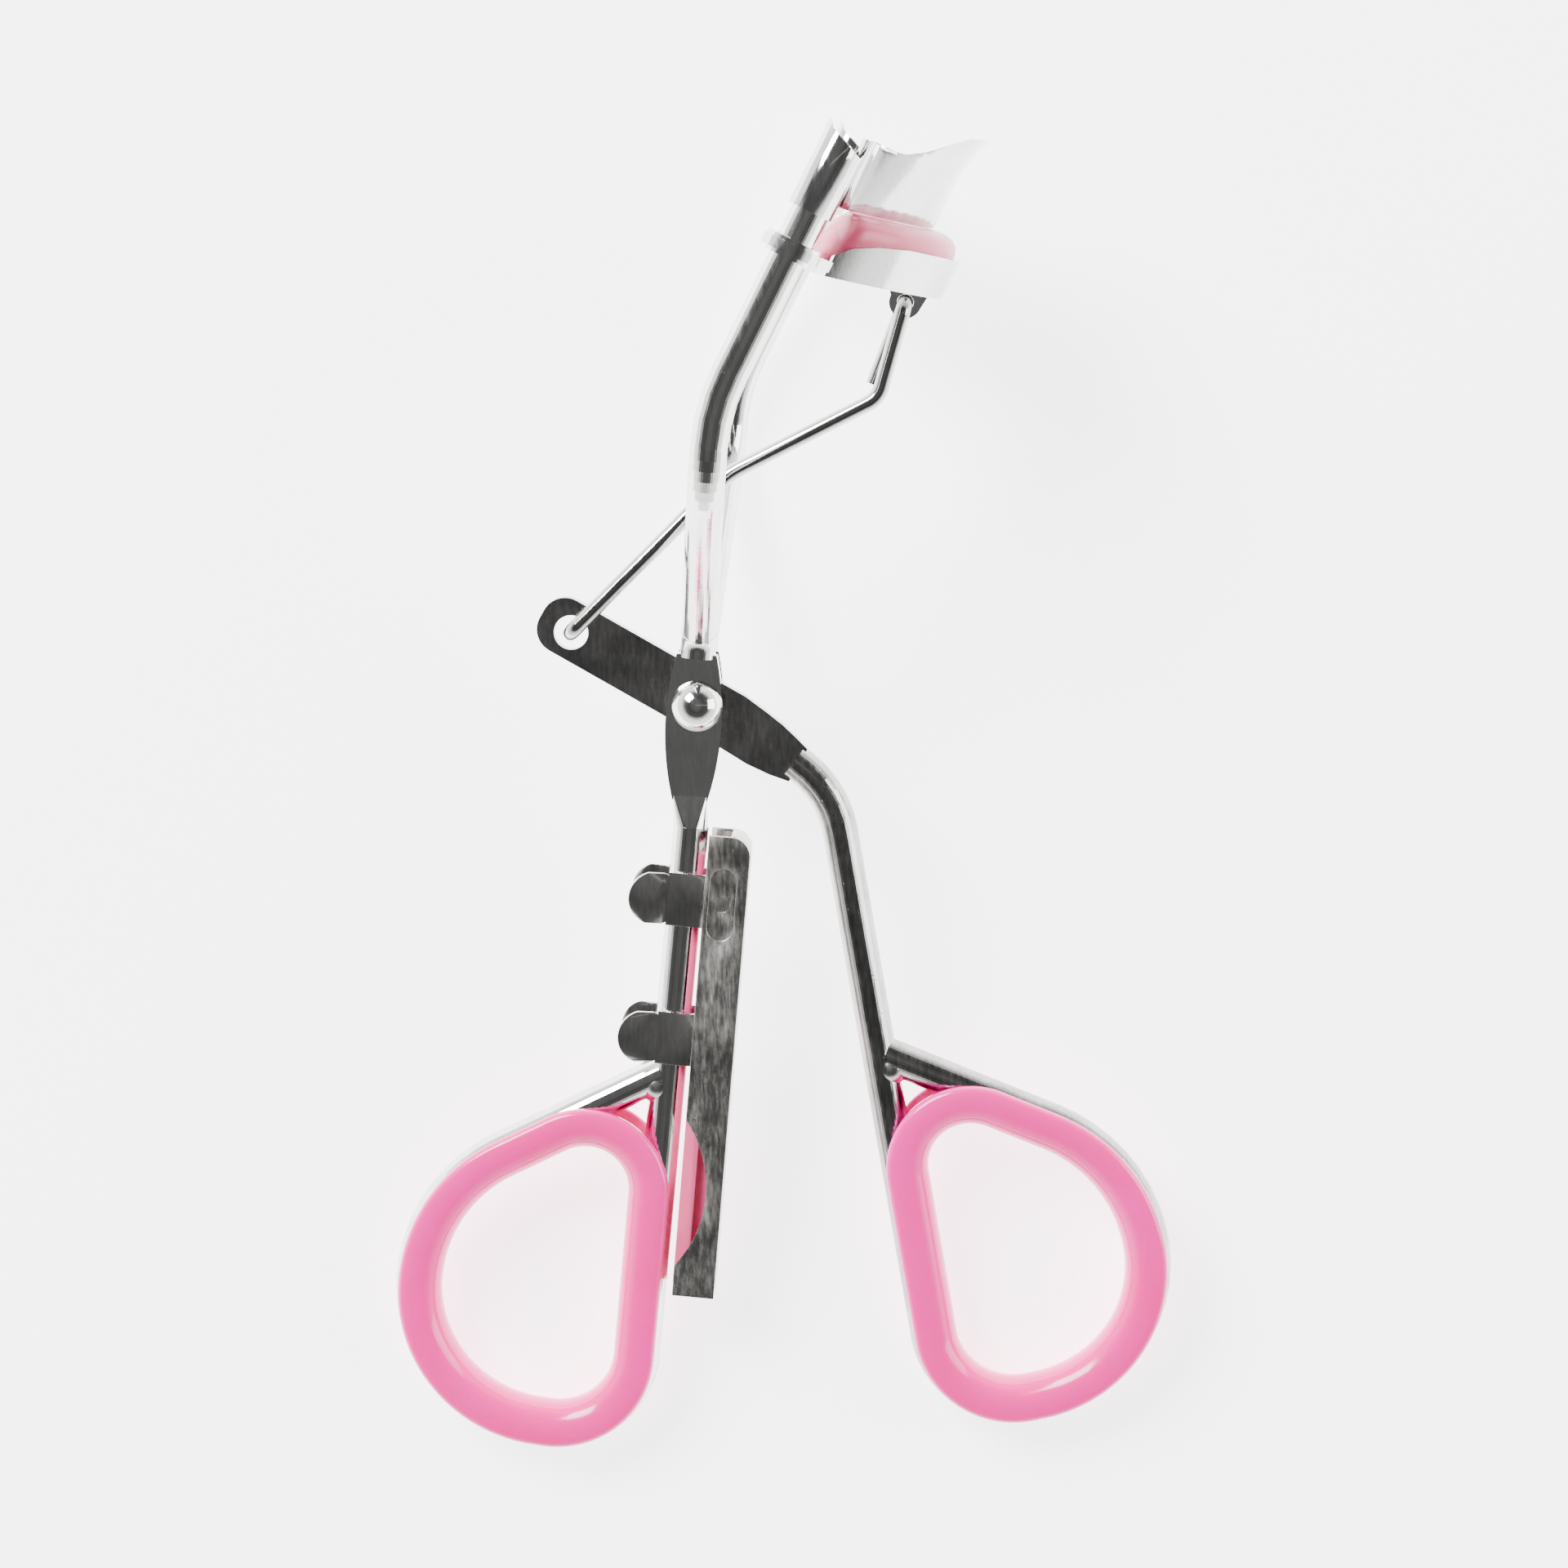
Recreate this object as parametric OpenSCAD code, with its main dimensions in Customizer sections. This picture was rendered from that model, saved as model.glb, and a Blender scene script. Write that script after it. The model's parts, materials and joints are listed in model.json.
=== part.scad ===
// Scissor-handled eyelash curler with a lash comb clipped on its left handle.
// Every part is drawn in the plane of the curler: the rivet at the origin, the hinge axis along Z,
// the jaws towards +Y and the finger loops towards -Y. laid() then lays the whole curler down on
// the XY plane, where it rests on the two finger loops and on the lower side of the jaws.

/* [Rods] */
// Diameter of the arm and handle rods
rod_d = 2.8; // [2.6:0.1:2.8]
// Diameter of the wire that links the lever and the lower jaw
link_d = 1.2; // [1.0:0.1:1.2]

/* [Pivot] */
// Thickness of the flattened eyes on the arms
eye_t = 1.3; // [1.1:0.1:1.3]
// Thickness of the flattened lever
lever_t = 1.2; // [1.0:0.1:1.2]
// Greatest width of an eye
eye_w = 4.4; // [4:0.1:4.8]
// Width of the lever
lever_w = 4.5; // [4:0.1:4.8]
// Diameter of the rivet's shank
rivet_d = 2.4; // [2:0.1:2.6]
// Diameter of the rivet's domed head
rivet_head_d = 4.1; // [3.6:0.1:4.2]
// Angle of the lever's long arm, measured from +X, with the jaws closed
lever_angle = 150; // [148:1:152]
// Distance from the rivet to the link hole
link_hole_at = 11.4; // [11:0.1:11.6]
// Diameter of the link hole
link_hole_d = 2.7; // [2.5:0.1:2.8]

/* [Cage] */
// Lean of the upper arms, along which the lower jaw slides
slide_lean = 27; // [25:1:29]
// Distance of the upper arms behind the rivet, square to the slide
arm_back = 8.9; // [8.6:0.1:9.2]
// Half the distance between the two upper arms
arm_half = 14.5; // [14:0.5:15]
// Height along the slide at which the arms bend
arm_bend_at = 22.4; // [22:0.1:22.8]

/* [Jaws] */
// Radius of the curved upper jaw plate, at the middle of its sheet
plate_r = 10.9; // [10.5:0.1:11.2]
// Thickness of the jaw sheet
sheet_t = 0.6; // [0.5:0.1:0.7]
// Lean of the jaw edges against a line square to the slide
jaw_lean = 15; // [13:1:17]
// Inner and outer radius of the channel that holds the pad
channel_in = 8.3; // [8.2:0.1:8.5]
channel_out = 14.2; // [14:0.1:14.4]
// Height of the pad above the channel's outer wall
pad_rise = 1.9; // [1.5:0.1:1.9]

/* [Handles] */
// Lean of the left handle against -Y
left_lean = 5.8; // [5.5:0.1:6]
// Lean of the right handle against -Y, with the jaws closed
right_lean = 9.4; // [9:0.1:9.8]
// Distance from the closed corner of a finger loop to its far end, along the handle
loop_side = 30.8; // [30:0.1:31.5]

/* [Finger cushions] */
// Thickness of the cushion rings across the loops' plane
cushion_t = 4.6; // [4.2:0.1:4.8]
// Reach of a cushion from the loop wire's centre towards the finger
cushion_in = 2.35; // [2.2:0.05:2.5]
// Reach of a cushion from the loop wire's centre outwards
cushion_out = 1.0; // [0.8:0.1:1.1]

/* [Comb] */
// Lean of the comb against -Y
comb_lean = 5.2; // [5.1:0.1:5.4]
// Length of the comb cover
cover_l = 37.2; // [36:0.1:38]
// Width of the comb cover
cover_w = 3.3; // [3.2:0.1:3.4]
// Thickness of the folded cover from face to face
cover_t = 4.4; // [4.3:0.1:4.6]
// Pitch of the comb's teeth
tooth_pitch = 0.8; // [0.7:0.1:1]
// Diameter of a comb tooth
tooth_d = 0.4; // [0.3:0.05:0.45]

/* [Hidden] */
$fn = 48;
gap = 0.05;                      // running gap between flat moving faces
fit = 0.05;                      // radial gap of a turning or sliding fit
press = 0.02;                    // radial gap between pieces that don't move on each other
big = 60;                        // longer than anything it cuts
swell = 0.03;                    // a rod is this much thicker in its elbows
lap = 0.06;                      // its straights run this far into them
chrome = [0.78, 0.78, 0.77];
pink = [0.98, 0.53, 0.72];
rose = [0.90, 0.50, 0.62];

// Laying down: turns and shift from the curler's plane to the surface it lies on
pitch = 10.34;
roll = 1.49;
rest_shift = [-6.487, 6.197, 11.954];

// Places in the curler's plane
eye_z = lever_t / 2 + gap + eye_t / 2;
rod_r = rod_d / 2;
left_axis_x = -0.6;              // where the left handle's axis crosses y = left_axis_y
left_axis_y = -9.5;
right_corner = [10.56, -6.88];   // where the lever's line meets the right handle's axis
left_corner_y = -29.1;
right_corner_y = -27.9;
left_corner = [left_axis_x + tan(left_lean) * (left_corner_y - left_axis_y), left_corner_y];
right_loop_corner = [right_corner.x + tan(right_lean) * (right_corner.y - right_corner_y), right_corner_y];

// Corners of a finger loop, seen from its closed corner, and the bend radius at each
loop_corners = [[0, 0], [0, -loop_side], [20, -29.8], [18.2, -11.2]];
loop_bends = [5.7, 6.9, 11.6, 13.2];

// Places along the slide, as heights from the rivet
sleeve_low = 38.5;
sleeve_high = 45.2;
ring_low = 34.9;
ring_high = 36.0;
link_pivot = [0.4, 35.2];        // forward of the slide's origin, and along it
arc_back = 11.4;                 // the jaws' arc centre, behind the rivet and square to the slide

function unit(v) = v / norm(v);
function turn(a, b, c) = acos(unit(b - a) * unit(c - b));
function cut_back(a, b, c, r) = r * tan(turn(a, b, c) / 2);
function to3(p, z) = [p.x, p.y, z];
// A point given forward of the rivet and along the slide, as a point of the curler's plane
function on_slide(forward, along) = [
    forward * cos(slide_lean) + along * sin(slide_lean),
    along * cos(slide_lean) - forward * sin(slide_lean)
];
// Corner i of a finger loop; side is 1 on the right and -1 on the left
function loop_corner(i, at, lean, side) =
    let (p = loop_corners[i], x = side * p.x, a = side * lean)
    [at.x + x * cos(a) - p.y * sin(a), at.y + x * sin(a) + p.y * cos(a)];
// Point 0.5 mm short of the loop's closed corner, on its last straight
function loop_end(at, lean, side) =
    let (last = loop_corner(3, at, lean, side)) at + 0.5 * unit(last - at);

module laid() {
    translate(rest_shift) rotate([pitch, -roll, 0]) children();
}

// Puts +Z along the line from p to q
module along(p, q) {
    w = unit(q - p);
    u = unit(cross(abs(w.z) < 0.9 ? [0, 0, 1] : [1, 0, 0], w));
    v = cross(w, u);
    multmatrix([[u.x, v.x, w.x, p.x], [u.y, v.y, w.y, p.y], [u.z, v.z, w.z, p.z], [0, 0, 0, 1]])
        children();
}

// The elbow of a bent rod at b, of bend radius r
module elbow(a, b, c, r, d) {
    before = unit(b - a);
    out = -unit(unit(c - b) - before * cos(turn(a, b, c)));
    axis = cross(out, before);
    o = b - before * cut_back(a, b, c, r) - out * r;
    multmatrix([
        [out.x, before.x, axis.x, o.x], [out.y, before.y, axis.y, o.y], [out.z, before.z, axis.z, o.z],
        [0, 0, 0, 1]
    ])
        rotate_extrude(angle = turn(a, b, c)) translate([r, 0]) circle(d = d + swell);
}

// A round rod through the points, with a bend radius for each point between its ends
module bent_rod(points, bends, d) {
    last = len(points) - 1;
    back = [
        for (i = [0:last])
            i == 0 || i == last ? 0 : cut_back(points[i - 1], points[i], points[i + 1], bends[i - 1])
    ];
    for (i = [0:last - 1]) {
        w = unit(points[i + 1] - points[i]);
        from = points[i] + w * (back[i] - (i > 0 ? lap : 0));
        to = points[i + 1] - w * (back[i + 1] - (i < last - 1 ? lap : 0));
        along(from, to) cylinder(d = d, h = norm(to - from));
    }
    for (i = [1:last - 1]) elbow(points[i - 1], points[i], points[i + 1], bends[i - 1], d);
}

// Sweeps a section (x outwards, y across) round the rounded polygon of a finger loop
module swept_loop(corners, bends) {
    n = len(corners);
    for (i = [0:n - 1]) {
        a = corners[(i + n - 1) % n];
        b = corners[i];
        c = corners[(i + 1) % n];
        e = corners[(i + 2) % n];
        d_in = unit(b - a);
        d_out = unit(c - b);
        facing = atan2(-d_in.x, d_in.y);
        o = b - d_in * cut_back(a, b, c, bends[i]) - bends[i] * [d_in.y, -d_in.x];
        translate(o) rotate(facing) rotate_extrude(angle = turn(a, b, c)) translate([bends[i], 0]) children();
        from = b + d_out * cut_back(a, b, c, bends[i]);
        to = c - d_out * cut_back(b, c, e, bends[(i + 1) % n]);
        translate(to) rotate(atan2(-d_out.x, d_out.y)) rotate([90, 0, 0]) linear_extrude(norm(to - from))
            children();
    }
}

// Puts a loop drawn at the origin, for the right hand side, on either handle
module at_loop(at, lean, side) {
    translate(at) rotate(side * lean) mirror([side < 0 ? 1 : 0, 0, 0]) children();
}

// Puts X forward, Z along the slide and Y across the cage, away from the viewer
module in_cage() {
    rotate([0, 0, -slide_lean]) rotate([-90, 0, 0]) children();
}

// Extrudes a side profile (x forward, y along the slide) right across the cage
module across_cage(half = 20) {
    translate([0, half, 0]) rotate([90, 0, 0]) linear_extrude(2 * half) children();
}

// ---- Pivot eyes -------------------------------------------------------------------------------

// Outline of an eye between two heights, its sides bowed
module eye_outline(low, high) {
    bow = 23;
    middle = -1.3;
    intersection() {
        translate([eye_w / 2 - bow, middle]) circle(bow, $fn = 200);
        translate([bow - eye_w / 2, middle]) circle(bow, $fn = 200);
        translate([-eye_w, low]) square([2 * eye_w, high - low]);
    }
}

module at_eye(side) {
    translate([-0.2, 0, side * eye_z - eye_t / 2]) rotate(-3.4) children();
}

// One arm of the cage, from its eye to its top; side is 1 for the near arm and -1 for the far arm
module arm(side) {
    foot = [0.05, 3.8, side * eye_z];
    knee = [0.2, 5.4, side * eye_z];
    bend = to3(on_slide(-arm_back, arm_bend_at), side * arm_half);
    splay = bend - [0.55, 5.5, 0];
    top = to3(on_slide(-arm_back, sleeve_high - 2.2), side * arm_half);
    bent_rod([foot, knee, splay, bend, top], [2.4, 6, 15], rod_d);
}

module rivet_hole(d = rivet_d) {
    cylinder(d = d, h = big, center = true);
}

// ---- Frame ------------------------------------------------------------------------------------

module left_handle_rod() {
    neck = to3([left_axis_x, left_axis_y], eye_z);
    corners = [for (i = [1:3]) to3(loop_corner(i, left_corner, left_lean, -1), eye_z)];
    end = to3(loop_end(left_corner, left_lean, -1), eye_z);
    bent_rod(concat([neck], corners, [end]), [for (i = [1:3]) loop_bends[i]], rod_d);
}

module near_arm_handle() {
    color(chrome) laid() difference() {
        union() {
            arm(1);
            at_eye(1) linear_extrude(eye_t) eye_outline(-7.4, 4.1);
            // the neck swells from the flat eye into the round handle
            hull() {
                at_eye(1) translate([-1.3, -7.3, 0.02]) cube([2.6, 0.3, eye_t - 0.04]);
                translate([left_axis_x, left_axis_y, eye_z]) rotate([90, 0, -left_lean])
                    cylinder(d = rod_d - 0.04, h = 0.1, $fn = 32);
            }
            left_handle_rod();
        }
        rivet_hole();
    }
}

module far_arm() {
    color(chrome) laid() difference() {
        union() {
            arm(-1);
            at_eye(-1) linear_extrude(eye_t) intersection() {
                eye_outline(-4, 4.1);
                union() {
                    translate([-3, 0]) square([6, 5]);
                    translate([0.2, 0]) circle(r = eye_w / 2 + 0.3);
                }
            }
        }
        rivet_hole();
    }
}

// Domed rivet through both eyes and the lever, its tail spread behind the rear eye
module pivot_rivet() {
    face = eye_z + eye_t / 2;
    dome_h = 1.5;
    dome_r = (pow(rivet_head_d / 2, 2) + dome_h * dome_h) / (2 * dome_h);
    tail_h = 0.7;
    color(chrome) laid() {
        translate([0, 0, -face]) cylinder(d = rivet_d, h = 2 * face);
        intersection() {
            translate([0, 0, face + dome_h - dome_r]) sphere(dome_r);
            translate([0, 0, face]) cylinder(d = rivet_head_d + 1, h = dome_h + 1);
        }
        translate([0, 0, -face - tail_h]) cylinder(d = rivet_head_d - 0.5, h = tail_h);
    }
}

module left_loop_weld() {
    color(chrome) laid() difference() {
        translate(to3(left_corner + [-0.9, -1.2], eye_z)) sphere(d = 3);
        left_handle_rod();
    }
}

// Section of a cushion: x outwards from the wire, y across the loop, open to the wire from outside
module cushion_section() {
    half = cushion_t / 2;
    nose = 1.5;
    lip = 0.42;
    groove_r = rod_r + press;
    difference() {
        union() {
            translate([-cushion_in, nose - half]) square([cushion_in, cushion_t - 2 * nose]);
            translate([nose - cushion_in, -half]) square([cushion_in - nose + cushion_out - lip, cushion_t]);
            translate([0, lip - half]) square([cushion_out, cushion_t - 2 * lip]);
            for (side = [-1, 1]) {
                translate([nose - cushion_in, side * (half - nose)]) circle(nose);
                translate([cushion_out - lip, side * (half - lip)]) circle(lip);
            }
        }
        circle(groove_r);
        translate([0, -groove_r]) square([3, 2 * groove_r]);
    }
}

module finger_cushion(at, lean, side, z) {
    color(pink) laid() translate([0, 0, z]) at_loop(at, lean, side)
        swept_loop(loop_corners, loop_bends) cushion_section();
}

module left_finger_cushion() {
    finger_cushion(left_corner, left_lean, -1, eye_z);
}

module right_finger_cushion() {
    finger_cushion(right_loop_corner, right_lean, 1, 0);
}

// ---- Upper jaw --------------------------------------------------------------------------------

plate_near = -arm_back + rod_r + press + 0.3 - sheet_t / 2;   // middle of the wings' sheet
wing_bend = 1.5;                 // radius at which the plate turns into its wings

// A wall of the jaws' arc, of full slide height, between two radii and within a half angle
module arc_wall(inner, outer, half_angle) {
    translate([-arc_back, 0, 0]) rotate(-half_angle) rotate_extrude(angle = 2 * half_angle)
        translate([inner, 0]) square([outer - inner, big]);
}

// Top edge of the upper plate: level at its ends and raised in a smooth hump at its middle
function plate_top(x) =
    let (t = max(0, min(1, (x + 6.5) / 6.8)), k = pow(t, 1.4)) 45 + 3.85 * (3 * k * k - 2 * k * k * k);

module plate_profile() {
    steps = 14;
    front = 1.4;
    back = -8.4;
    edge = 41.4;                 // height of the lower edge at the front
    polygon(concat(
        [[front, edge + 0.14], [-6.6, edge - 6.46 * tan(jaw_lean)], [back, edge - 6.46 * tan(jaw_lean) - 0.2]],
        [for (i = [0:steps]) let (x = back + (front - back) * i / steps) [x, plate_top(x)]]
    ));
}

// Section of the curved plate: upright, then flared outwards near its top
module plate_section() {
    flare_at = 44.6;
    flare_r = 12;
    inner = plate_r - sheet_t / 2;
    translate([inner, 30]) square([sheet_t, flare_at - 30]);
    intersection() {
        translate([inner, flare_at]) square([4, 6]);
        difference() {
            translate([inner + flare_r, flare_at]) circle(flare_r, $fn = 200);
            translate([inner + flare_r, flare_at]) circle(flare_r - sheet_t, $fn = 200);
        }
    }
}

module sleeve_profile() {
    polygon([
        [-arm_back - 3, sleeve_low], [plate_near + 0.3, sleeve_low], [plate_near + 0.3, 43.5],
        [-arm_back - 1.2, sleeve_high - 0.5], [-arm_back - 1.5, sleeve_high], [-arm_back - 3, sleeve_high]
    ]);
}

module upper_jaw() {
    wing_x = plate_near;
    f_x = wing_x + wing_bend;
    reach = plate_r + wing_bend;
    f_y = sqrt(reach * reach - pow(f_x + arc_back, 2));
    half_angle = atan2(f_y, f_x + arc_back);
    over = 0.25;                 // degrees that the curved plate runs into its corners
    color(chrome) laid() in_cage() difference() {
        union() {
            intersection() {
                across_cage() plate_profile();
                union() {
                    translate([-arc_back, 0, 0]) rotate(-half_angle - over)
                        rotate_extrude(angle = 2 * (half_angle + over)) plate_section();
                    for (side = [0, 1]) mirror([0, side, 0]) {
                        translate([f_x, f_y, 0]) rotate(180) rotate_extrude(angle = half_angle)
                            translate([wing_bend - (sheet_t + swell) / 2, 0]) square([sheet_t + swell, big]);
                        translate([wing_x - sheet_t / 2, f_y - lap, 0]) cube([sheet_t, arm_half - f_y, big]);
                    }
                }
            }
            intersection() {
                across_cage() sleeve_profile();
                for (side = [-1, 1]) translate([-arm_back, side * arm_half, 0])
                    cylinder(r = rod_r + press + 0.3, h = big);
            }
        }
        for (side = [-1, 1]) translate([-arm_back, side * arm_half, 0]) cylinder(r = rod_r + press, h = big);
    }
}

// ---- Lever and right handle -------------------------------------------------------------------

module lever_outline() {
    round_r = 1.9;
    tip = 12.2;
    top = -2.4;
    rotate(lever_angle) {
        translate([-3, top]) square([3 + tip, lever_w]);
        translate([0, top + round_r]) square([tip + round_r, lever_w - 2 * round_r]);
        for (y = [top + round_r, top + lever_w - round_r]) translate([tip, y]) circle(round_r);
        polygon([
            [-2.9, top], [-5, -2.15], [-6.6, -1.9], [-8, -1.55], [-9.2, -1.2],
            [-9.2, 1.75], [-7.6, 2.05], [-5.6, 2.2], [-2.9, top + lever_w]
        ]);
    }
}

module right_handle_rod() {
    root = 8.4 * [cos(lever_angle + 180), sin(lever_angle + 180)] + [0.2, -0.35];
    corners = [for (i = [1:3]) to3(loop_corner(i, right_loop_corner, right_lean, 1), 0)];
    end = to3(loop_end(right_loop_corner, right_lean, 1), 0);
    bends = concat([8.5], [for (i = [1:3]) loop_bends[i]]);
    bent_rod(concat([to3(root, 0), to3(right_corner, 0)], corners, [end]), bends, rod_d);
}

module lever_handle() {
    color(chrome) laid() difference() {
        union() {
            translate([0, 0, -lever_t / 2]) linear_extrude(lever_t) lever_outline();
            right_handle_rod();
        }
        rivet_hole(rivet_d + 2 * fit);
        rotate(lever_angle) translate([link_hole_at, 0, 0]) cylinder(d = link_hole_d, h = big, center = true);
    }
}

module right_loop_weld() {
    color(chrome) laid() difference() {
        translate(to3(right_loop_corner + [0.9, -1.3], 0)) sphere(d = 3);
        right_handle_rod();
    }
}

// ---- Lower jaw --------------------------------------------------------------------------------

channel_end = 67;                // half angle of the channel
channel_t = 0.5;                 // thickness of its sheet
channel_floor = 36.05;           // height of its underside at the front

function floor_line(x) = channel_floor + x * tan(jaw_lean - 2);

module floor_profile(low, high) {
    polygon([
        [-12, floor_line(-12) + low], [4, floor_line(4) + low],
        [4, floor_line(4) + high], [-12, floor_line(-12) + high]
    ]);
}

// Side profile of the channel's walls: their top edge falls away towards the ends
module wall_profile() {
    polygon([
        [-12, floor_line(-12)], [4, floor_line(4)], [4, 39.95], [2.8, 39.85], [1.2, 39.6], [-1, 39.1],
        [-3.2, 38.3], [-4.9, 37.4], [-6, 36.3], [-7, 35.2], [-12, 34]
    ]);
}

module lower_jaw() {
    tab_low = ring_low + 0.15;
    tab_t = 0.8;
    color(chrome) laid() in_cage() difference() {
        union() {
            intersection() {
                across_cage() wall_profile();
                union() {
                    arc_wall(channel_out - channel_t, channel_out, channel_end);
                    arc_wall(channel_in, channel_in + channel_t, channel_end);
                }
            }
            intersection() {
                across_cage() floor_profile(0, channel_t + 0.2);
                arc_wall(channel_in, channel_out, channel_end);
            }
            // tabs that carry the slide rings, cut back from the channel's hollow
            difference() {
                for (side = [0, 1]) mirror([0, side, 0]) translate([0, 0, tab_low]) {
                    linear_extrude(tab_t) polygon([
                        [-7.9, 8.6], [-5.6, 10.4], [-5.7, 13.2], [-7.2, 15.6], [-10.3, 14.2]
                    ]);
                    translate([-arm_back, arm_half, 0]) cylinder(r = rod_r + 0.9, h = tab_t);
                }
                intersection() {
                    across_cage() floor_profile(channel_t + 0.1, 10);
                    arc_wall(channel_in + channel_t - 0.1, channel_out - channel_t + 0.1, channel_end + 1);
                }
            }
        }
        for (side = [-1, 1]) translate([-arm_back, side * arm_half, 0]) cylinder(r = rod_r + 0.45, h = big);
    }
}

// The rings are bushes pressed in the tabs; they slide on the arms
module slide_ring(side) {
    flange = 0.3;
    color(chrome) laid() in_cage() translate([-arm_back, -side * arm_half, ring_low - 0.15]) difference() {
        union() {
            cylinder(r = rod_r + 0.45 - press / 2, h = ring_high - ring_low + flange);
            translate([0, 0, 1.1]) cylinder(r = rod_r + 0.75, h = ring_high - ring_low + flange - 1.1);
        }
        cylinder(r = rod_r + fit, h = big, center = true);
    }
}

module near_slide_ring() {
    slide_ring(1);
}

module far_slide_ring() {
    slide_ring(-1);
}

module lash_pad() {
    clear = 0.02;
    edge = 0.6;
    inner = channel_in + channel_t + clear;
    outer = channel_out - channel_t - clear;
    low = channel_t + 0.2 + clear;
    shoulder = 39.85 - channel_floor - 2.8 * tan(jaw_lean - 2) + 0.35;
    color(rose) laid() in_cage() {
        intersection() {
            across_cage() floor_profile(low, shoulder);
            arc_wall(inner, outer, channel_end - 1);
        }
        intersection() {
            across_cage() floor_profile(shoulder, shoulder + pad_rise - 0.35);
            arc_wall(inner + edge, outer - edge, channel_end - 3);
        }
    }
}

// Lug under the channel; the link wire turns in its hole
module link_bracket() {
    half = 0.6;
    color(chrome) laid() in_cage() difference() {
        across_cage(half) {
            translate([link_pivot.x, link_pivot.y]) circle(1.25);
            polygon([
                [link_pivot.x - 1.25, link_pivot.y], [link_pivot.x + 1.25, link_pivot.y],
                [link_pivot.x + 1.4, floor_line(link_pivot.x + 1.4) + 0.3],
                [link_pivot.x - 1.9, floor_line(link_pivot.x - 1.9) + 0.3]
            ]);
        }
        translate([link_pivot.x, 0, link_pivot.y]) rotate([90, 0, 0])
            cylinder(d = link_d + 2 * fit, h = big, center = true);
        across_cage() floor_profile(0, 5);
    }
}

// ---- Link wire --------------------------------------------------------------------------------

module link_wire() {
    z = 1.6;
    top = on_slide(link_pivot.x, link_pivot.y);
    hook = link_hole_at * [cos(lever_angle), sin(lever_angle)];
    points = [
        to3(top + [-2.5, -6.4], -z), to3(top, -z), to3(top, z), to3(top + [-2.1, -7.3], z),
        to3(hook + [12.5, 12.4], z), to3(hook, z), to3(hook, -z), to3(hook + [1.3, 1.3], -z - 0.3)
    ];
    color(chrome) laid() bent_rod(points, [0.9, 0.9, 2, 6, 0.9, 0.9], link_d);
}

// ---- Lash comb --------------------------------------------------------------------------------
// Its frame: X away from the handle rod, Y up along it, Z across, from a point on the rod's axis.

comb_at = [-0.66, -10.1];
pin_at = [3.0, -5.1];
pin_d = 1.2;
spine = [1.55, 2.7];             // near and far side of the comb's back
web = [3.6, 1.2];                // far side and thickness of the web that holds the teeth
spine_ends = [-36.5, -1.6];
spine_t = 2.86;
clip_centres = [-5.05, -16.2];
clip_w = 4.2;
leaf_t = 0.3;
leaf_in = rod_r + fit;           // half the space between a clip's leaves
bridge_x = 1.75;

module in_comb() {
    translate(to3(comb_at, eye_z)) rotate(-comb_lean) children();
}

module comb_spine() {
    head = 4.15;                 // the head's far side, cut back above the pin so that the cover can swing
    head_low = -8.6;
    color(pink) laid() in_comb() difference() {
        union() {
            translate([spine[1] - 0.1, spine_ends[0] + 0.4, -web[1] / 2])
                cube([web[0] - spine[1] + 0.1, head_low - spine_ends[0] - 1.2, web[1]]);
            translate([0, 0, -spine_t / 2]) linear_extrude(spine_t) {
                translate([spine[0], spine_ends[0] + 0.5]) square([spine[1] - spine[0], 34.4]);
                translate([(spine[0] + spine[1]) / 2, spine_ends[0] + 0.55]) circle(0.55);
                polygon([
                    [spine[0], head_low - 1.5], [spine[1] - 0.1, head_low - 1.5],
                    [head - 0.3, head_low - 0.4], [head, head_low], [head, pin_at.y - 0.6],
                    [pin_at.x + 0.4, spine_ends[1] - 0.5], [pin_at.x, spine_ends[1]],
                    [spine[0], spine_ends[1]]
                ]);
            }
        }
        translate(to3(pin_at, 0)) cylinder(d = pin_d + 2 * fit, h = big, center = true);
        for (y = clip_centres) translate([bridge_x - press, y - clip_w / 2 - press, -big / 2])
            cube([leaf_t + 2 * press, clip_w + 2 * press, big]);
    }
}

// The whole row of steel teeth, set in the comb's back
module comb_teeth() {
    tip = 4.45;
    first = -10.4;
    count = floor((first - spine_ends[0] - 1) / tooth_pitch);
    color(chrome) laid() in_comb() for (i = [0:count - 1])
        translate([web[0], first - i * tooth_pitch, 0]) rotate([0, 90, 0])
            cylinder(d = tooth_d, h = tip - web[0], $fn = 16);
}

// A U of spring sheet: two leaves over the rod, flared at their ends, and a bridge in the comb's back
module spring_clip(y) {
    hinge_x = -1.3;
    ear_r = clip_w / 2;
    flare = 14;
    color(chrome) laid() in_comb() translate([0, y, 0]) {
        for (side = [0, 1]) mirror([0, 0, side]) {
            translate([hinge_x, -clip_w / 2, leaf_in]) cube([2.2 - hinge_x, clip_w, leaf_t]);
            translate([hinge_x + 0.05, 0, leaf_in]) rotate([0, flare, 0]) linear_extrude(leaf_t) intersection() {
                translate([-1.1, 0]) circle(ear_r);
                translate([-4, -2]) square([4, 4]);
            }
        }
        translate([bridge_x, -clip_w / 2, -leaf_in]) cube([leaf_t, clip_w, 2 * leaf_in]);
    }
}

module upper_spring_clip() {
    spring_clip(clip_centres[0]);
}

module lower_spring_clip() {
    spring_clip(clip_centres[1]);
}

module cover_outline(near, inset) {
    corner = 1.5;
    far = 1.6 + cover_w - inset;
    top = 0.3 - inset;
    low = 0.3 - cover_l;
    r = corner - inset;
    translate([near, low - 1]) square([far - near, top - r - low + 1]);
    translate([near, low - 1]) square([far - r - near, top - low + 1]);
    translate([far - r, top - r]) circle(r);
}

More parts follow.
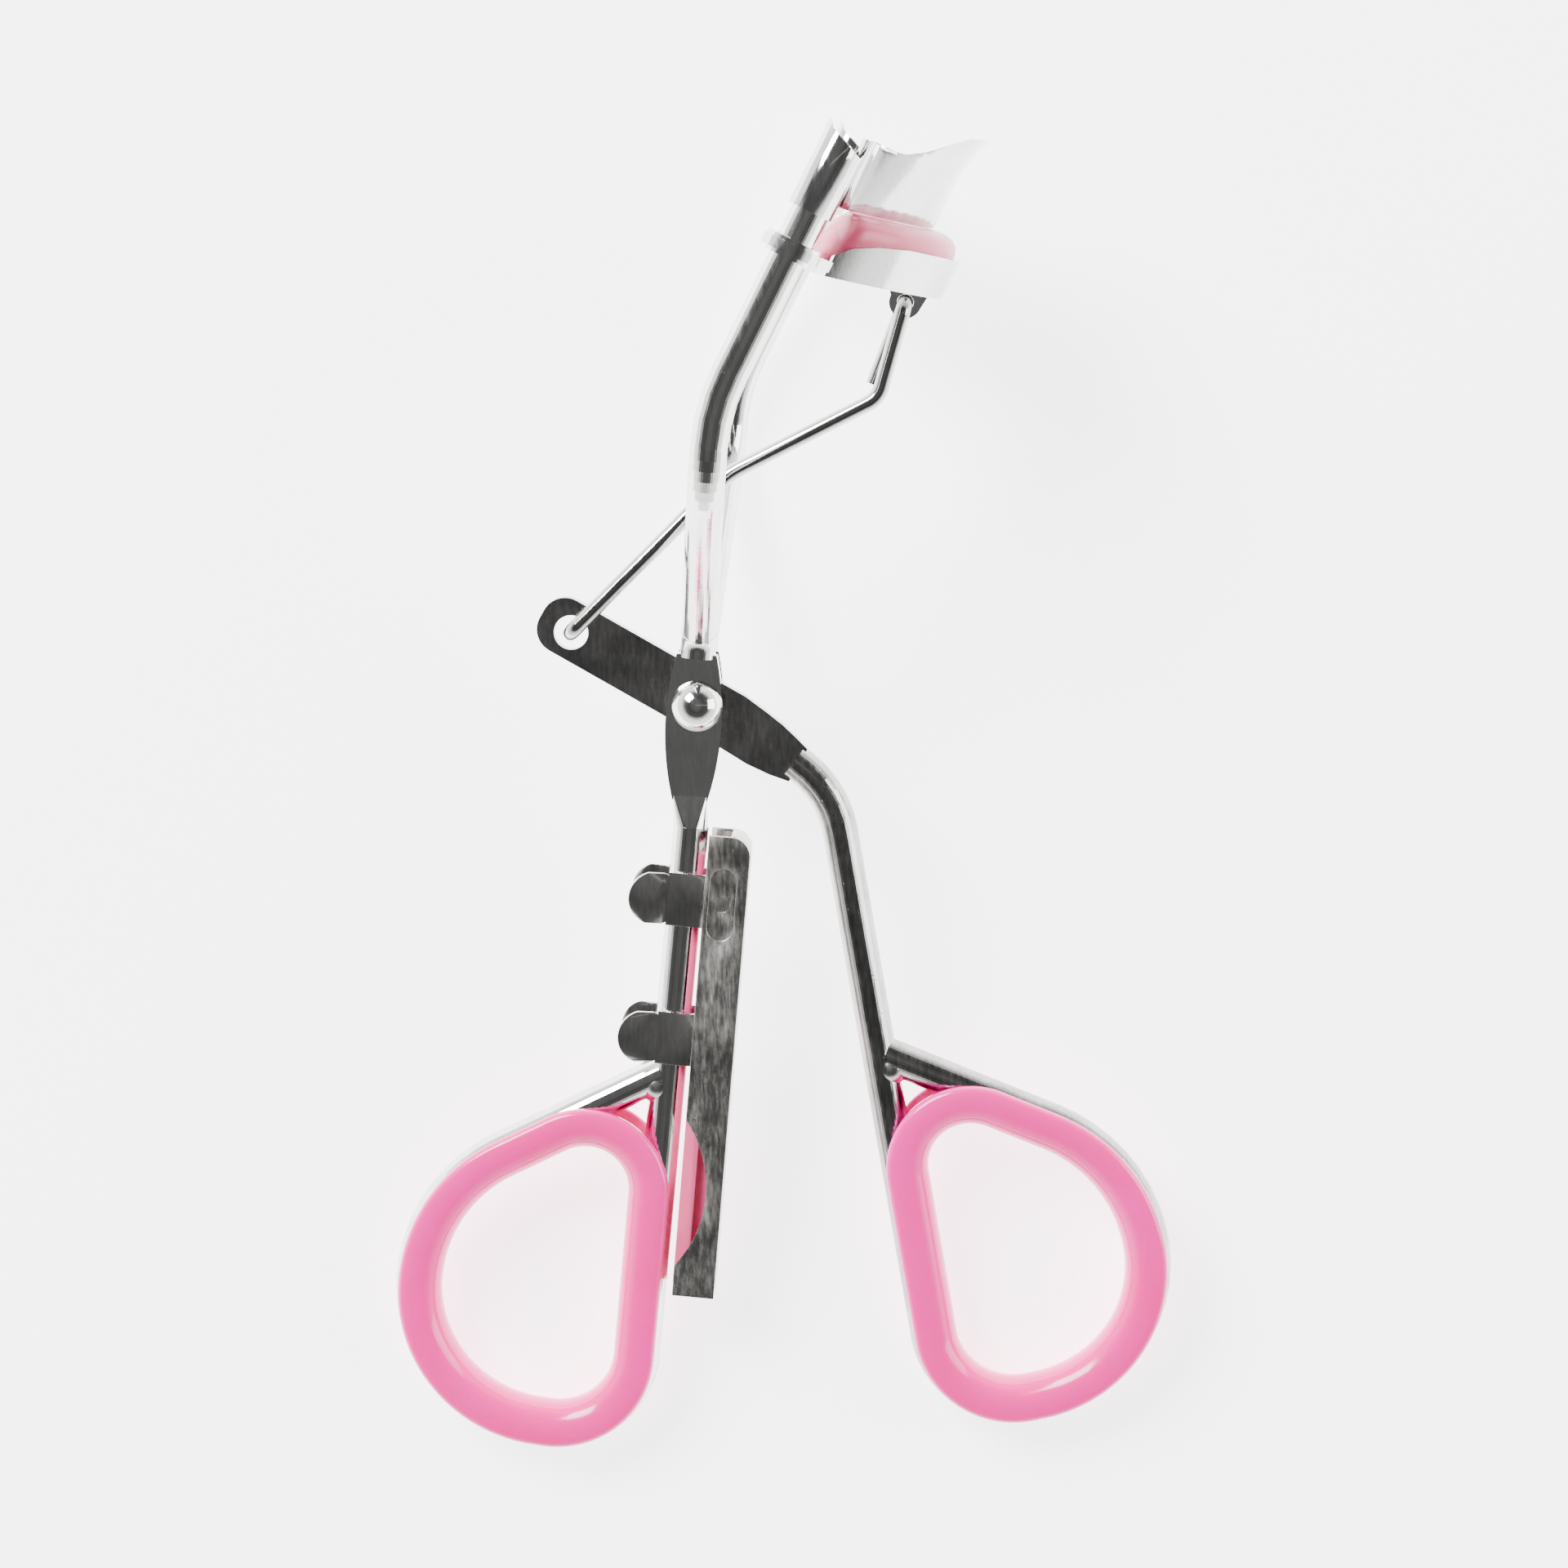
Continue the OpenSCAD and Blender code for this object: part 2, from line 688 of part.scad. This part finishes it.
// Folded sheet, open towards the rod and at its lower end, with a thumb cut-out in both faces
module comb_cover() {
    sheet = 0.35;
    thumb_r = 9.65;
    thumb_at = [-6.0, -28.5];
    dimple_w = 2.1;
    dimple_l = 5.8;
    color(chrome) laid() in_comb() difference() {
        translate([0, 0, -cover_t / 2]) linear_extrude(cover_t) intersection() {
            cover_outline(1.6, 0);
            translate([0, 0.3 - cover_l]) square([10, cover_l + 1]);
        }
        translate([0, 0, sheet - cover_t / 2]) linear_extrude(cover_t - 2 * sheet) {
            cover_outline(-1, sheet);
            translate([0, -2]) square([3.3, 4]);
        }
        translate(to3(thumb_at, 0)) cylinder(r = thumb_r, h = big, center = true, $fn = 200);
        translate(to3(pin_at, 0)) cylinder(d = pin_d, h = big, center = true);
        for (side = [0, 1]) mirror([0, 0, side]) translate([pin_at.x, pin_at.y, cover_t / 2 - 0.12])
            linear_extrude(1) {
                square([dimple_w, dimple_l - dimple_w], center = true);
                for (end = [-1, 1]) translate([0, end * (dimple_l - dimple_w) / 2]) circle(d = dimple_w);
            }
    }
}

module cover_pin() {
    half = cover_t / 2 - 0.12;
    color(chrome) laid() in_comb() translate([pin_at.x, pin_at.y, -half]) cylinder(d = pin_d, h = 2 * half);
}

near_arm_handle();
far_arm();
upper_jaw();
pivot_rivet();
left_loop_weld();
left_finger_cushion();
lever_handle();
right_loop_weld();
right_finger_cushion();
lower_jaw();
near_slide_ring();
far_slide_ring();
lash_pad();
link_bracket();
link_wire();
comb_spine();
comb_teeth();
upper_spring_clip();
lower_spring_clip();
comb_cover();
cover_pin();
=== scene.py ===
import json
import math

import bpy
from mathutils import Matrix, Vector


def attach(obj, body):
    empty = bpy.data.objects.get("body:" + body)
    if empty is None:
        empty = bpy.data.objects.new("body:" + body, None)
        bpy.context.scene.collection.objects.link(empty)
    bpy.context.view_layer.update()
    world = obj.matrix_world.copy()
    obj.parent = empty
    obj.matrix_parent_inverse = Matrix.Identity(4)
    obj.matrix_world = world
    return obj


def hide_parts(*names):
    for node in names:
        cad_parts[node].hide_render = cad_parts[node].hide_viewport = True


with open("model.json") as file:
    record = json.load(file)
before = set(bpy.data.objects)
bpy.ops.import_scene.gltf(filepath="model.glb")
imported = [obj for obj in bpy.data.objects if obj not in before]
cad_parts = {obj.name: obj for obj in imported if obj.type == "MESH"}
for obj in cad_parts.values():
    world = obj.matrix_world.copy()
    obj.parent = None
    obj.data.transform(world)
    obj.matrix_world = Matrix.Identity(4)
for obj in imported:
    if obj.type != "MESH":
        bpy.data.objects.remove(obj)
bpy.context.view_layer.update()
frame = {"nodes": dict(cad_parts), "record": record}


# ---- Node helpers -------------------------------------------------------------------------------

class Mat:
    """A material's node tree, with short calls for the nodes used here."""

    def __init__(self, name):
        self.m = bpy.data.materials.new(name)
        self.m.use_nodes = True
        self.t = self.m.node_tree
        self.t.nodes.clear()
        self.out = self.t.nodes.new("ShaderNodeOutputMaterial")
        self.bsdf = self.t.nodes.new("ShaderNodeBsdfPrincipled")
        self.link(self.bsdf.outputs[0], self.out.inputs["Surface"])
        self.coord = self.t.nodes.new("ShaderNodeTexCoord").outputs["Object"]

    def link(self, a, b):
        self.t.links.new(a, b)

    def set(self, **values):
        for key, value in values.items():
            self.bsdf.inputs[key.replace("_", " ")].default_value = value

    def place(self, scale):
        n = self.t.nodes.new("ShaderNodeMapping")
        n.inputs["Scale"].default_value = scale
        self.link(self.coord, n.inputs["Vector"])
        return n.outputs[0]

    def noise(self, where, scale, detail=4.0, rough=0.5, twist=0.0):
        n = self.t.nodes.new("ShaderNodeTexNoise")
        n.inputs["Scale"].default_value = scale
        n.inputs["Detail"].default_value = detail
        n.inputs["Roughness"].default_value = rough
        n.inputs["Distortion"].default_value = twist
        self.link(where, n.inputs["Vector"])
        return n.outputs["Fac"]

    def cells(self, where, scale):
        n = self.t.nodes.new("ShaderNodeTexVoronoi")
        n.inputs["Scale"].default_value = scale
        self.link(where, n.inputs["Vector"])
        return n.outputs["Distance"]

    def ramp(self, value, *stops):
        n = self.t.nodes.new("ShaderNodeValToRGB")
        e = n.color_ramp.elements
        while len(e) < len(stops):
            e.new(0.5)
        for item, (at, c) in zip(e, stops):
            item.position = at
            item.color = (c, c, c, 1) if isinstance(c, (int, float)) else (*c, 1)
        self.link(value, n.inputs[0])
        return n.outputs[0]

    def math(self, op, a, b):
        n = self.t.nodes.new("ShaderNodeMath")
        n.operation = op
        for socket, v in zip(n.inputs, (a, b)):
            if isinstance(v, (int, float)):
                socket.default_value = v
            else:
                self.link(v, socket)
        return n.outputs[0]

    def bump(self, height, depth, strength=1.0, under=None):
        n = self.t.nodes.new("ShaderNodeBump")
        n.inputs["Strength"].default_value = strength
        n.inputs["Distance"].default_value = depth
        self.link(height, n.inputs["Height"])
        if under is not None:
            self.link(under, n.inputs["Normal"])
        return n.outputs[0]


# ---- Materials ----------------------------------------------------------------------------------

def chrome(name, light=(0.80, 0.795, 0.78), dark=(0.66, 0.655, 0.64), rough=(0.05, 0.14), pits=0.0):
    """Plated steel: faint cloudiness, marks drawn along the part and, where asked for, pits."""
    k = Mat(name)
    k.set(Metallic=1.0, IOR=2.0)
    plain = k.place((1, 1, 1))
    cloud = k.noise(plain, 260, detail=6, rough=0.6)
    drawn = k.noise(k.place((9, 0.5, 9)), 420, detail=3, rough=0.6)
    shade = k.math("ADD", k.math("MULTIPLY", cloud, 0.6), k.math("MULTIPLY", drawn, 0.4))
    k.link(k.ramp(shade, (0.34, dark), (0.60, light)), k.bsdf.inputs["Base Color"])
    mixed = k.math("ADD", k.math("MULTIPLY", cloud, 0.5), k.math("MULTIPLY", drawn, 0.5))
    k.link(k.ramp(mixed, (0.35, rough[0]), (0.70, rough[1])), k.bsdf.inputs["Roughness"])
    waves = k.noise(plain, 150, detail=2, rough=0.4)
    normal = k.bump(waves, depth=0.00010, strength=0.35)
    if pits:
        spots = k.ramp(k.cells(plain, 900), (0.0, 0.0), (0.12, 1.0))
        normal = k.bump(spots, depth=0.00003, strength=pits, under=normal)
    normal = k.bump(drawn, depth=0.00001, strength=0.5, under=normal)
    k.link(normal, k.bsdf.inputs["Normal"])
    return k.m


def plastic(name, body, shade, rough=0.16):
    """Glossy moulded plastic: soft colour drift, flow marks and a clear skin."""
    k = Mat(name)
    k.set(IOR=1.5, Subsurface_Weight=0.25, Subsurface_Scale=0.0012)
    k.set(Coat_Weight=0.2, Coat_Roughness=0.06)
    k.bsdf.inputs["Subsurface Radius"].default_value = (1.0, 0.35, 0.45)
    plain = k.place((1, 1, 1))
    drift = k.noise(plain, 90, detail=4, rough=0.55, twist=0.4)
    k.link(k.ramp(drift, (0.30, shade), (0.65, body)), k.bsdf.inputs["Base Color"])
    fine = k.noise(plain, 2400, detail=3, rough=0.6)
    k.link(k.ramp(fine, (0.3, rough * 0.8), (0.7, rough * 1.35)), k.bsdf.inputs["Roughness"])
    flow = k.noise(plain, 190, detail=3, rough=0.5)
    normal = k.bump(flow, depth=0.00012, strength=0.25)
    normal = k.bump(fine, depth=0.00001, strength=0.25, under=normal)
    k.link(normal, k.bsdf.inputs["Normal"])
    return k.m


STEEL = chrome("chromed_steel")
PLATE = chrome("jaw_plate", (0.74, 0.74, 0.73), (0.60, 0.60, 0.59), (0.07, 0.18))
WIRE = chrome("link_steel", (0.50, 0.50, 0.49), (0.36, 0.36, 0.35), (0.06, 0.14))
DARK = chrome("lever_steel", (0.46, 0.45, 0.44), (0.27, 0.265, 0.26), (0.10, 0.26), 0.6)
COVER = chrome("cover_steel", (0.62, 0.61, 0.58), (0.42, 0.41, 0.385), (0.16, 0.44), 0.35)
SPRING = chrome("spring_steel", (0.74, 0.73, 0.71), (0.56, 0.55, 0.53), (0.07, 0.17))
BEAD = chrome("weld_bead", (0.72, 0.71, 0.69), (0.45, 0.44, 0.42), (0.10, 0.30), 0.8)
TEETH = chrome("teeth_steel", (0.72, 0.72, 0.73), (0.60, 0.60, 0.61), (0.18, 0.30))
PINK = plastic("cushion_plastic", (1.0, 0.014, 0.36), (0.98, 0.008, 0.27))
COMB = plastic("comb_plastic", (1.0, 0.16, 0.36), (0.95, 0.11, 0.29))
PAD = plastic("pad_silicone", (0.72, 0.09, 0.20), (0.62, 0.07, 0.15), 0.34)

LOOKS = {
    "near_arm_handle": STEEL, "far_arm": STEEL, "lever_handle": DARK, "pivot_rivet": STEEL,
    "left_loop_weld": BEAD, "right_loop_weld": BEAD,
    "left_finger_cushion": PINK, "right_finger_cushion": PINK,
    "upper_jaw": PLATE, "lower_jaw": PLATE, "near_slide_ring": STEEL, "far_slide_ring": STEEL,
    "lash_pad": PAD, "link_bracket": STEEL, "link_wire": WIRE,
    "comb_spine": COMB, "comb_teeth": TEETH, "comb_cover": COVER, "cover_pin": COVER,
    "upper_spring_clip": SPRING, "lower_spring_clip": SPRING,
}
for name, obj in frame["nodes"].items():
    obj.data.materials.clear()
    obj.data.materials.append(LOOKS[name])
    for face in obj.data.polygons:
        face.use_smooth = True


# ---- Pieces drawn finer than the CAD ------------------------------------------------------------

MM = 0.001
PITCH, ROLL = math.radians(10.34), math.radians(1.49)  # how the curler lies on the table
JOINTS = {joint["name"]: joint for joint in frame["record"]["behaviour"]["joints"]}
PIVOT = Vector(JOINTS["handle_hinge"]["pos_m"])
LAY = Matrix.Translation(PIVOT) @ Matrix.Rotation(-ROLL, 4, "Y") @ Matrix.Rotation(PITCH, 4, "X")
SLIDE = math.radians(27)       # lean of the arms, and so of the jaw's slide

# Where the two loops start, in millimetres from the rivet, and how far they lean in degrees
LEFT_LOOP = {"at": (-2.591, -29.1), "lean": 5.8, "side": -1, "z": 1.3}
RIGHT_LOOP = {"at": (14.040, -27.9), "lean": 9.4, "side": 1, "z": 0}
LOOP_CORNERS = ((0, 0), (0, -30.8), (20, -29.8), (18.2, -11.2))
LOOP_BENDS = (5.7, 6.9, 11.4, 13.0)
BEND_STEP = 3                  # degrees between rings in a bend

# A cushion's section, in millimetres from the wire: outwards, and across the loop
CUSHION_IN, CUSHION_HALF = 2.34, 2.29
SQUARE_IN, SQUARE_ACROSS = 0.86, 0.90      # below 1, the rounding is squarer than an ellipse
LIP_TOP = [(1.0, 1.55), (1.0, 1.85), (0.86, 2.12), (0.60, 2.27)]
GROOVE, GROOVE_EDGE = 1.43, 0.88

# The pad, in millimetres: its arc centre is behind the rivet, its foot is in the jaw's channel
PAD_SECTION = [
    (8.84, 0.74), (8.84, 2.2), (8.86, 3.3), (9.0, 3.95), (9.35, 4.5), (9.9, 4.88), (10.6, 5.02),
    (11.5, 5.02), (12.3, 4.9), (12.95, 4.6), (13.4, 4.1), (13.62, 3.5), (13.66, 2.8), (13.66, 0.74),
]
PAD_FOOT = 0.74
PAD_MIDDLE = 11.25
PAD_HALF_ANGLE = 65.6
PAD_STEPS = 60
PAD_END, PAD_END_LENGTH = 0.93, 0.07       # shares of the half angle
ARC_BACK = 11.4
CHANNEL_AT, CHANNEL_SLOPE = 36.05, 13


def new_piece(name, rings, material, node, body, closed=True):
    """A smooth mesh from rings of points given in millimetres in the curler's own plane."""
    n = len(rings[0])
    verts = [LAY @ (Vector(p) * MM) for ring in rings for p in ring]
    faces = []
    last = len(rings) if closed else len(rings) - 1
    for i in range(last):
        a, b = i * n, (i + 1) % len(rings) * n
        for j in range(n):
            k = (j + 1) % n
            faces.append((a + j, b + j, b + k, a + k))
    if not closed:
        faces.append(tuple(range(n)))
        faces.append(tuple((len(rings) - 1) * n + j for j in reversed(range(n))))
    mesh = bpy.data.meshes.new(name)
    mesh.from_pydata(verts, [], faces)
    mesh.update()
    for face in mesh.polygons:
        face.use_smooth = True
    obj = bpy.data.objects.new(name, mesh)
    bpy.context.collection.objects.link(obj)
    mesh.materials.append(material)
    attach(obj, body)
    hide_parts(node)


def cushion_section():
    """Outline of a cushion: outwards from the wire, then across the loop."""
    out = list(LIP_TOP)
    for i in range(25):
        t = math.radians(90 + 7.5 * i)
        c, k = math.cos(t), math.sin(t)
        out.append((CUSHION_IN * math.copysign(abs(c) ** SQUARE_IN, c),
                    CUSHION_HALF * math.copysign(abs(k) ** SQUARE_ACROSS, k)))
    out += [(w, -h) for w, h in reversed(LIP_TOP)]
    out.append((GROOVE_EDGE, -GROOVE))
    for i in range(13):
        t = math.radians(270 - 15 * i)
        out.append((GROOVE * math.cos(t), GROOVE * math.sin(t)))
    out.append((GROOVE_EDGE, GROOVE))
    return out


def loop_path():
    """Points and outward directions round a finger loop, from its closed corner."""
    corners = [Vector(corner) for corner in LOOP_CORNERS]
    path = []
    for i, bend in enumerate(LOOP_BENDS):
        a, b, c = corners[i - 1], corners[i], corners[(i + 1) % len(corners)]
        u, v = (b - a).normalized(), (c - b).normalized()
        turn = math.acos(u.dot(v))
        o = b - u * (bend * math.tan(turn / 2)) - bend * Vector((u.y, -u.x))
        start = math.atan2(-u.x, u.y)
        steps = max(8, int(math.degrees(turn) / BEND_STEP))
        for k in range(steps + 1):
            t = start + turn * k / steps
            side = Vector((math.cos(t), math.sin(t)))
            path.append((o + bend * side, side))
    return path


def cushion(name, node, body, at, lean, side, z):
    """A plastic ring round one finger loop; side is 1 for the right one and -1 for the left one."""
    lean = math.radians(side * lean)
    c, k = math.cos(lean), math.sin(lean)
    rings = []
    for p, out in loop_path():
        ring = []
        for w, h in cushion_section():
            x, y = side * (p.x + w * out.x), p.y + w * out.y
            ring.append((at[0] + x * c - y * k, at[1] + x * k + y * c, z + h))
        rings.append(ring)
    new_piece(name, rings, PINK, node, body)


def cage_point(forward, along, across):
    """From the slide's own directions to the curler's plane."""
    return (forward * math.cos(SLIDE) + along * math.sin(SLIDE),
            along * math.cos(SLIDE) - forward * math.sin(SLIDE), -across)


def pad():
    """The silicone pad: a domed bar bent round the jaws' arc, rounded off at both ends."""
    rings = []
    for i in range(PAD_STEPS + 1):
        t = -1 + 2 * i / PAD_STEPS
        angle = math.radians(PAD_HALF_ANGLE) * t
        edge = max(0.0, (abs(t) - PAD_END) / PAD_END_LENGTH)
        squeeze = 1 - 0.35 * edge ** 2.2
        narrow = 1 - 0.12 * edge ** 2
        ring = []
        for r, h in PAD_SECTION:
            r = PAD_MIDDLE + (r - PAD_MIDDLE) * narrow
            h = PAD_FOOT + (h - PAD_FOOT) * squeeze
            n = r * math.cos(angle) - ARC_BACK
            along = CHANNEL_AT + math.tan(math.radians(CHANNEL_SLOPE)) * n + h
            ring.append(cage_point(n, along, r * math.sin(angle)))
        rings.append(ring)
    new_piece("soft_lash_pad", rings, PAD, "lash_pad", "lower_jaw_carriage", closed=False)


cushion("left_cushion_ring", "left_finger_cushion", "frame", **LEFT_LOOP)
cushion("right_cushion_ring", "right_finger_cushion", "lever", **RIGHT_LOOP)
pad()

# Edge rounding, in metres, of the pieces that are pressed from sheet or moulded
EDGES = {
    "comb_cover": 0.00014, "upper_spring_clip": 0.00006, "lower_spring_clip": 0.00006,
    "comb_spine": 0.00012, "upper_jaw": 0.00008,
}


def soften(node, width):
    """Rounds a pressed or moulded piece's sharp edges."""
    obj = frame["nodes"][node]
    weld = obj.modifiers.new("weld", "WELD")
    weld.merge_threshold = 0.000002
    bevel = obj.modifiers.new("edge", "BEVEL")
    bevel.width = width
    bevel.segments = 2
    bevel.limit_method = "ANGLE"
    bevel.angle_limit = math.radians(50)
    bevel.harden_normals = True


for part, width in EDGES.items():
    soften(part, width)


# ---- Floor --------------------------------------------------------------------------------------

FLOOR_HALF = 1.6
FLOOR_LIGHT = 3.6              # the floor glows, which keeps it pale under the soft light


def floor():
    mesh = bpy.data.meshes.new("floor")
    r = FLOOR_HALF
    mesh.from_pydata([(-r, -r, 0), (r, -r, 0), (r, r, 0), (-r, r, 0)], [], [(0, 1, 2, 3)])
    obj = bpy.data.objects.new("floor", mesh)
    bpy.context.collection.objects.link(obj)
    k = Mat("floor")
    k.set(Specular_IOR_Level=0.1, Roughness=0.8)
    k.set(Emission_Color=(1, 1, 1, 1), Emission_Strength=FLOOR_LIGHT)
    tone = k.noise(k.place((1, 1, 1)), 30, detail=3, rough=0.5)
    k.link(k.ramp(tone, (0.3, 0.905), (0.7, 0.92)), k.bsdf.inputs["Base Color"])
    mesh.materials.append(k.m)


floor()


# ---- Light --------------------------------------------------------------------------------------

def area(name, at, size, power, tint=(1, 1, 1), long=None):
    """A soft lamp that faces the object; size and long are its sides in metres."""
    light = bpy.data.lights.new(name, "AREA")
    light.energy = power
    light.color = tint
    light.size = size
    if long:
        light.shape = "RECTANGLE"
        light.size_y = long
    obj = bpy.data.objects.new(name, light)
    obj.location = at
    obj.rotation_euler = (Vector((0, 0, 0)) - Vector(at)).to_track_quat("-Z", "Y").to_euler()
    bpy.context.collection.objects.link(obj)


area("key", (-0.55, 0.55, 0.75), size=0.5, power=30)
area("fill", (0.9, 0.1, 0.45), size=0.6, power=8)
area("streak", (0.40, 0, 0.95), size=0.02, power=0.05, tint=(1, 0.95, 0.88), long=1.2)

# The surroundings by height: pale at the horizon and below, dark overhead
SKY = ((0.0, 2.8), (0.34, 2.2), (0.50, 0.8), (0.62, 0.12), (0.85, 0.08), (1.0, 0.16))

world = bpy.data.worlds.new("studio")
bpy.context.scene.world = world
world.use_nodes = True
w = world.node_tree
w.nodes.clear()
w_out = w.nodes.new("ShaderNodeOutputWorld")
w_bg = w.nodes.new("ShaderNodeBackground")
w_dir = w.nodes.new("ShaderNodeTexCoord")
w_split = w.nodes.new("ShaderNodeSeparateXYZ")
w_ramp = w.nodes.new("ShaderNodeValToRGB")
w.links.new(w_dir.outputs["Generated"], w_split.inputs[0])
w.links.new(w_split.outputs["Z"], w_ramp.inputs[0])
w.links.new(w_ramp.outputs[0], w_bg.inputs["Color"])
w.links.new(w_bg.outputs[0], w_out.inputs["Surface"])
ramp = w_ramp.color_ramp.elements
while len(ramp) < len(SKY):
    ramp.new(0.5)
for item, (at, c) in zip(ramp, SKY):
    item.position = at
    item.color = (c, c, c, 1)


# ---- Camera -------------------------------------------------------------------------------------

LENS, SENSOR = 90.53, 36
CAMERA_AT = (0.005685, -0.007348, 0.320955)
CAMERA_TILT = (1.338, 1.010)   # degrees about X and Y

cam = bpy.data.cameras.new("camera")
cam.lens = LENS
cam.sensor_width = SENSOR
cam.clip_start = 0.01
cam.clip_end = 10
cam_obj = bpy.data.objects.new("camera", cam)
bpy.context.collection.objects.link(cam_obj)
cam_obj.location = CAMERA_AT
cam_obj.rotation_euler = (math.radians(CAMERA_TILT[0]), math.radians(CAMERA_TILT[1]), 0)
bpy.context.scene.camera = cam_obj
